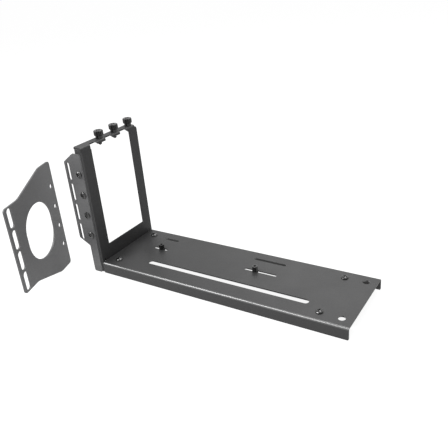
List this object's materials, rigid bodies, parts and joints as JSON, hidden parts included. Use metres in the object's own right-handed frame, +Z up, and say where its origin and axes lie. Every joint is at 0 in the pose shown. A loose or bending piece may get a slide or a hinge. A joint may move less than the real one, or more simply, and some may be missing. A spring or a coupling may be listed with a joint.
{
  "type": "graphics card support bracket",
  "caption": "Folded steel tray with an upright slotted frame at one end that holds a graphics card outside its case, with a loose adapter plate.",
  "frame": {"origin": "bottom centre of the bounding box of the whole part, on the surface it stands on", "axes": "+X along the tray, away from the upright frame; +Y from the side with the slotted plate towards the back; +Z up"},
  "size_m": [0.2954, 0.1532, 0.133],
  "materials": {
    "black_sheet": "fine black powder coat",
    "black_screw": "glossy black plating",
    "black_nut": "black oxide"
  },
  "bodies": {
    "root": {"base_tray": "black_sheet", "io_frame": "black_sheet", "short_slot_plate": "black_sheet", "long_slot_plate": "black_sheet", "thumbscrew_1": "black_screw", "thumbscrew_2": "black_screw", "thumbscrew_3": "black_screw", "plate_screw_1": "black_screw", "plate_screw_2": "black_screw", "plate_screw_3": "black_screw", "plate_screw_4": "black_screw", "tray_screw_front_left": "black_screw", "tray_screw_back_left": "black_screw", "tray_screw_front_right": "black_screw", "tray_screw_back_right": "black_screw", "tray_nut_front_right": "black_nut", "tray_nut_back_right": "black_nut", "riser_standoff_left": "black_nut", "riser_standoff_right": "black_nut", "riser_nut_left": "black_nut", "riser_nut_right": "black_nut"}
  },
  "joints": []
}
